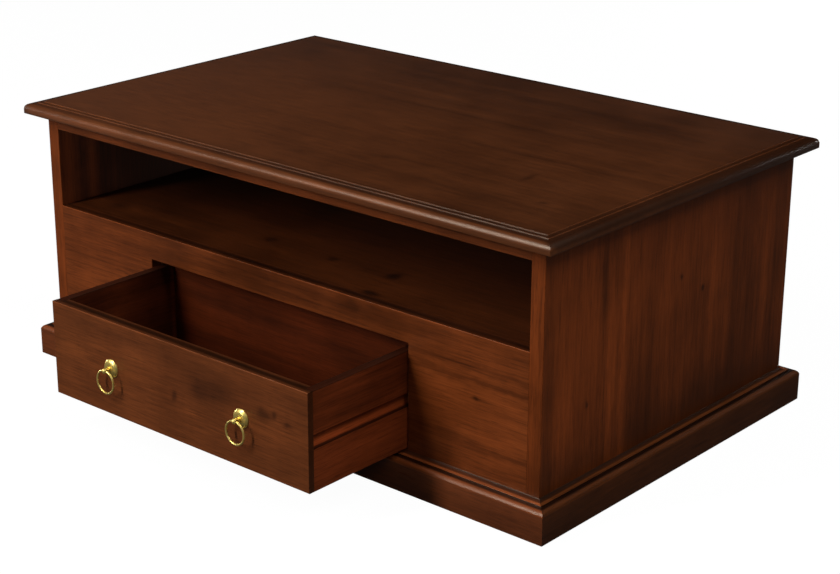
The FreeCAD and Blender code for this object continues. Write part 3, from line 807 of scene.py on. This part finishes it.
def driven(name, finish, slotted):
    """A recipe that drives a screw or nail at each point, with its head facing the way the point says."""
    sizes = {
        "Head Width": "NodeSocketFloat",
        "Neck Width": "NodeSocketFloat",
        "Head Depth": "NodeSocketFloat",
        "Shank Width": "NodeSocketFloat",
        "Length": "NodeSocketFloat",
        "Slot Width": "NodeSocketFloat",
        "Slot Depth": "NodeSocketFloat",
        "Seed": "NodeSocketInt",
    }
    round_sides = 24
    recipe = Recipe(name, sizes)
    points = recipe.size("Geometry")

    def taper(top_width, foot_width, depth, top_height):
        """A round taper, with its upper face at a height."""
        values = {
            "Vertices": round_sides,
            "Radius Top": top_width * 0.5,
            "Radius Bottom": foot_width * 0.5,
            "Depth": depth,
        }
        made = points.node("GeometryNodeMeshCone", {}, values, "Mesh")
        shift = made.node("ShaderNodeCombineXYZ", {}, {"Z": top_height - depth}, "Vector")
        return made.node("GeometryNodeTransform", {}, {"Geometry": made, "Translation": shift}, "Geometry")

    head_depth = recipe.size("Head Depth")
    half_head = head_depth * 0.5
    head = taper(recipe.size("Head Width"), recipe.size("Neck Width"), head_depth, 0.0)
    length = recipe.size("Length")
    shank_width = recipe.size("Shank Width")
    tip = shank_width * 1.5
    shank = taper(shank_width, shank_width, length - half_head - tip, 0 - half_head)
    point = taper(shank_width * 0.96, shank_width * 0.1, tip * 1.1, tip * 1.1 - length)
    joining = {"operation": "UNION", "solver": "EXACT"}
    whole = head.node("GeometryNodeMeshBoolean", joining, {"Mesh 2": head}, "Mesh")
    for stretch in (shank, point):
        recipe.tree.links.new(stretch.socket, whole.socket.node.inputs["Mesh 2"])
    if slotted:
        slot_size = {
            "X": recipe.size("Head Width") * 1.5,
            "Y": recipe.size("Slot Width"),
            "Z": recipe.size("Slot Depth") * 2.0,
        }
        slot_size = points.node("ShaderNodeCombineXYZ", {}, slot_size, "Vector")
        slot = points.node("GeometryNodeMeshCube", {}, {"Size": slot_size}, "Mesh")
        cutting = {"operation": "DIFFERENCE", "solver": "EXACT"}
        whole = whole.node("GeometryNodeMeshBoolean", cutting, {"Mesh 1": whole, "Mesh 2": slot}, "Mesh")

    facing = {"data_type": "FLOAT_VECTOR"}
    facing = points.node("GeometryNodeInputNamedAttribute", facing, {"Name": "facing"}, "Attribute")
    upright = {"axis": "Z"}
    aligned = facing.node("FunctionNodeAlignRotationToVector", upright, {"Vector": facing}, "Rotation")
    angles = {"Min_001": 0.0, "Max_001": math.pi, "Seed": recipe.size("Seed")}
    angle = points.node("FunctionNodeRandomValue", {"data_type": "FLOAT"}, angles, "Value_001")
    values = {"Axis": (0, 0, 1), "Angle": angle}
    spin = angle.node("FunctionNodeAxisAngleToRotation", {}, values, "Rotation")
    values = {"Rotation": aligned, "Rotate By": spin}
    turned = aligned.node("FunctionNodeRotateRotation", {"rotation_space": "LOCAL"}, values, "Rotation")
    values = {"Points": points, "Instance": whole, "Rotation": turned}
    recipe.finished(points.node("GeometryNodeInstanceOnPoints", {}, values, "Instances"), finish)
    return recipe


def head_points(places):
    """Bare points in the middle of the heads, each with the way its head faces."""
    mesh = bpy.data.meshes.new("head_points")
    mesh.from_pydata([place for place, facing in places], [], [])
    directions = mesh.attributes.new("facing", "FLOAT_VECTOR", "POINT")
    for index, (place, facing) in enumerate(places):
        directions.data[index].vector = facing
    return mesh


steel = zinc_steel("zinc_steel")
screw_sizes = {
    "Head Width": 0.008,
    "Neck Width": 0.004,
    "Head Depth": 0.003,
    "Shank Width": 0.004,
    "Slot Width": 0.0011,
    "Slot Depth": 0.0012,
}
bite = 0.012
turn_seed = 4
head_crease = math.radians(30)
cleat_low, cleat_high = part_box("top_cleat_right")
cleat_size = cleat_high.z - cleat_low.z
cleat_gap = 0.207
cleat_shift = 0.025
runner_low, runner_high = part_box("drawer_runner_right")
runner_thickness = runner_high.x - runner_low.x
runner_height = (runner_low.z + runner_high.z) / 2
runner_gap = 0.2365
for side, hand in (("left", -1), ("right", 1)):
    inwards = (-hand, 0, 0)
    cleat_places = []
    runner_places = []
    for step in (-1, 0, 1):
        sideways = (hand * cleat_low.x, step * cleat_gap - cleat_shift, cleat_low.z + cleat_size / 2)
        upwards = (hand * (cleat_low.x + cleat_size / 2), step * cleat_gap + cleat_shift, cleat_low.z)
        cleat_places += [(sideways, inwards), (upwards, (0, 0, -1))]
        runner_places.append(((hand * runner_low.x, step * runner_gap, runner_height), inwards))
    for kind, places, through in (
        ("top_cleat_screws_", cleat_places, cleat_size),
        ("runner_screws_", runner_places, runner_thickness),
    ):
        values = {**screw_sizes, "Length": through + bite, "Seed": turn_seed + hand}
        mesh = driven("slotted_screws", steel, slotted=True).baked(head_points(places), values, head_crease)
        new_piece("slotted_" + kind + side, mesh, steel, "steel", "carcass", kind + side)

nail_sizes = {
    "Head Width": 0.005,
    "Neck Width": 0.005,
    "Head Depth": 0.001,
    "Shank Width": 0.002,
    "Length": 0.019,
}
nail_gap = 0.214
for drawer in ("front_drawer", "back_drawer"):
    nails_low, nails_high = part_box(drawer + "_bottom_nails")
    row = (nails_low.y + nails_high.y) / 2
    places = [((step * nail_gap, row, nails_low.z), (0, 0, -1)) for step in (-1, 0, 1)]
    mesh = driven("wire_nails", steel, slotted=False).baked(head_points(places), nail_sizes, head_crease)
    new_piece(drawer + "_wire_nails", mesh, steel, "steel", drawer, drawer + "_bottom_nails")


# Floor and surroundings
# A plain white floor that keeps a faint shadow, under a white backdrop that ends low behind the table.
# The room above it is dim, with a slightly lighter wall on the left, so that the lacquer stays dark where
# it mirrors the ceiling.
white = opaque((1.0, 1.0, 1.0))
floor_size = 60.0
floor_glow = 0.97
floor_grey = 0.045
floor_mirror = 0.015


def seen_rays(start):
    """What the camera sees straight, and what metal and lacquer mirror, each as 1 or 0."""
    camera = start.node("ShaderNodeLightPath", {}, {}, "Is Camera Ray")
    return camera, camera.beside("Is Glossy Ray") + camera.beside("Is Transmission Ray")


floor_finish, start = new_finish("white_floor")
straight, mirrored = seen_rays(start)
values = {"Color": white, "Strength": (straight + mirrored * floor_mirror) * floor_glow}
glow = start.node("ShaderNodeEmission", {}, values, "Emission")
ground = start.node("ShaderNodeBsdfDiffuse", {}, {"Color": opaque((floor_grey,) * 3)}, "BSDF")
both = glow.node("ShaderNodeAddShader", {}, {"Shader": glow, "Shader_001": ground}, "Shader")
both.node("ShaderNodeOutputMaterial", {}, {"Surface": both})
floor_mesh = bpy.data.meshes.new("floor")
edge = floor_size / 2
corners = [(-edge, -edge, 0), (edge, -edge, 0), (edge, edge, 0), (-edge, edge, 0)]
floor_mesh.from_pydata(corners, [], [(0, 1, 2, 3)])
floor_mesh.materials.append(floor_finish)
floor = bpy.data.objects.new("floor", floor_mesh)
bpy.context.scene.collection.objects.link(floor)

backdrop_height = 0.025
backdrop_mirror = 0.12
left_wall_mirror = 0.035
left_wall_start = 0.57
left_wall_full = 0.8
ceiling_mirror = 0.004
ambient = 0.03
world = bpy.data.worlds.new("studio")
bpy.context.scene.world = world
world.use_nodes = True
world.node_tree.nodes.clear()
start = Tone(world.node_tree)
straight, mirrored = seen_rays(start)
towards = start.node("ShaderNodeTexCoord", {}, {}, "Generated")
z = towards.node("ShaderNodeSeparateXYZ", {}, {"Vector": towards}, "Z")
left_wall = rise(0 - z.beside("X"), left_wall_start, left_wall_full)
seen = (1 - rise(z, backdrop_height, backdrop_height * 2)) * backdrop_mirror + ceiling_mirror
seen = seen + left_wall * left_wall_mirror
strength = straight + mirrored * seen + (1 - straight - mirrored) * ambient
sky = start.node("ShaderNodeBackground", {}, {"Color": white, "Strength": strength}, "Background")
sky.node("ShaderNodeOutputWorld", {}, {"Surface": sky})


# Lamps
# Soft boxes. The key is a tall strip in front on the left, and a high box on the right casts the shadow
# under the overhang. Strips behind and on the left light those sides from below the height of the top.
lamp_aim = Vector((0.0, -0.2, 0.2))


def soft_box(name, towards_lamp, distance, width, height, share):
    """A lamp that, at a share of 1, lets a face square to it show its colour as it is written."""
    lamp = bpy.data.lights.new(name, "AREA")
    lamp.shape = "RECTANGLE"
    lamp.size = width
    lamp.size_y = height
    lamp.energy = share * math.pi ** 2 * distance ** 2
    holder = bpy.data.objects.new(name, lamp)
    direction = Vector(towards_lamp).normalized()
    holder.location = lamp_aim + direction * distance
    holder.rotation_euler = direction.to_track_quat("Z", "Y").to_euler()
    bpy.context.scene.collection.objects.link(holder)


soft_box("key_lamp", (-0.274, -0.772, 0.574), distance=4.5, width=0.6, height=3.6, share=0.9)
soft_box("right_lamp", (0.87, 0.02, 0.49), distance=2.0, width=1.0, height=1.0, share=0.1)
soft_box("high_lamp", (0.543, 0.0, 0.84), distance=4.0, width=2.2, height=2.2, share=0.5)
soft_box("corner_lamp", (0.5, -0.75, 0.42), distance=4.0, width=1.0, height=1.0, share=0.04)
soft_box("left_lamp", (-0.62, -0.68, 0.40), distance=4.0, width=0.8, height=0.8, share=0.08)
soft_box("back_lamp", (0.0, 1.0, 0.03), distance=4.0, width=1.6, height=0.24, share=0.4)
soft_box("left_strip", (-1.0, 0.0, 0.03), distance=4.0, width=1.6, height=0.24, share=0.3)


# Camera
# It stands off the right front corner, above the table, with a long lens and a slight tilt to one side.
standpoint = Vector((1.9898, -2.2857, 1.2696))
azimuth = math.radians(40.728)
elevation = math.radians(20.125)
tilt = math.radians(0.272)
lens_length = 82.843
film_width = 36.0

forward = Vector((
    -math.sin(azimuth) * math.cos(elevation),
    math.cos(azimuth) * math.cos(elevation),
    -math.sin(elevation),
))
level_right = forward.cross(Vector((0, 0, 1))).normalized()
level_up = level_right.cross(forward)
right = level_right * math.cos(tilt) + level_up * math.sin(tilt)
up = right.cross(forward)
camera_data = bpy.data.cameras.new("camera")
camera_data.lens = lens_length
camera_data.sensor_fit = "HORIZONTAL"
camera_data.sensor_width = film_width
viewpoint = bpy.data.objects.new("camera", camera_data)
axes = Matrix((right, up, -forward)).transposed().to_4x4()
viewpoint.matrix_world = Matrix.Translation(standpoint) @ axes
bpy.context.scene.collection.objects.link(viewpoint)
bpy.context.scene.camera = viewpoint
bpy.context.scene.view_settings.view_transform = "Standard"
